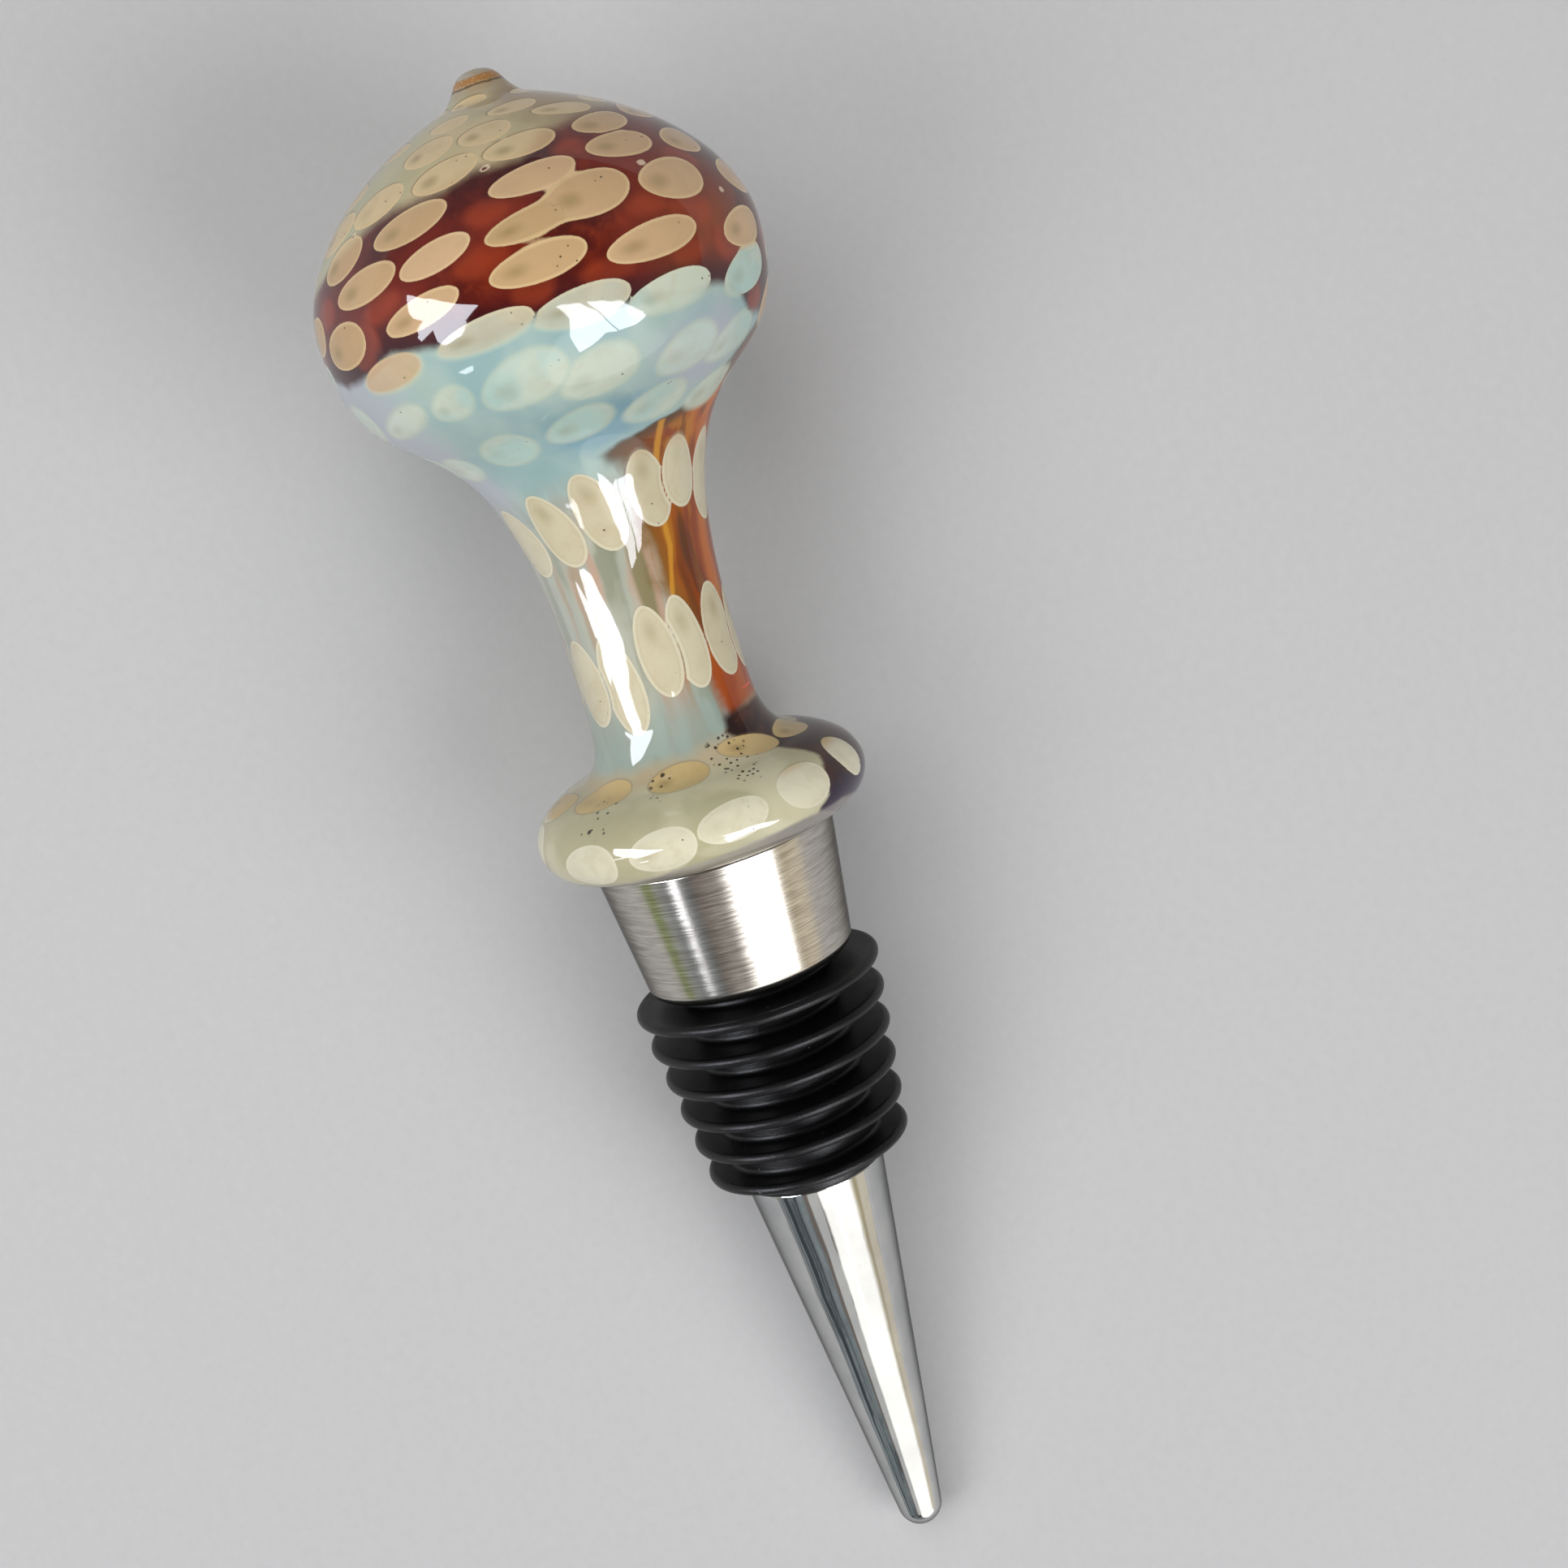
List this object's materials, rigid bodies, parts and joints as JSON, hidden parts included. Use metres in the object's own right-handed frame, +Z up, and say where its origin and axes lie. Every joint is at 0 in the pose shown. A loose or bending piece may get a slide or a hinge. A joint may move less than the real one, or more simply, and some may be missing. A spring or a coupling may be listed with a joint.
{
  "type": "bottle stopper",
  "caption": "Wine bottle stopper with a hollow blown glass knob, a tapered metal collar and cone, and a ribbed rubber sleeve that seals the neck.",
  "frame": {"origin": "middle of the box, on the surface that the stopper lies on", "axes": "+X towards the knob's nub, seen from above along the stopper; +Y to the side; +Z up"},
  "size_m": [0.1538, 0.0432, 0.0468],
  "materials": {
    "art_glass": "gloss",
    "clear_glue": "gloss",
    "satin_steel": "satin",
    "black_rubber": "matte"
  },
  "bodies": {
    "root": {"glass_knob": "art_glass", "glue_disc": "clear_glue", "metal_stopper": "satin_steel", "rubber_sleeve": "black_rubber"}
  },
  "joints": []
}
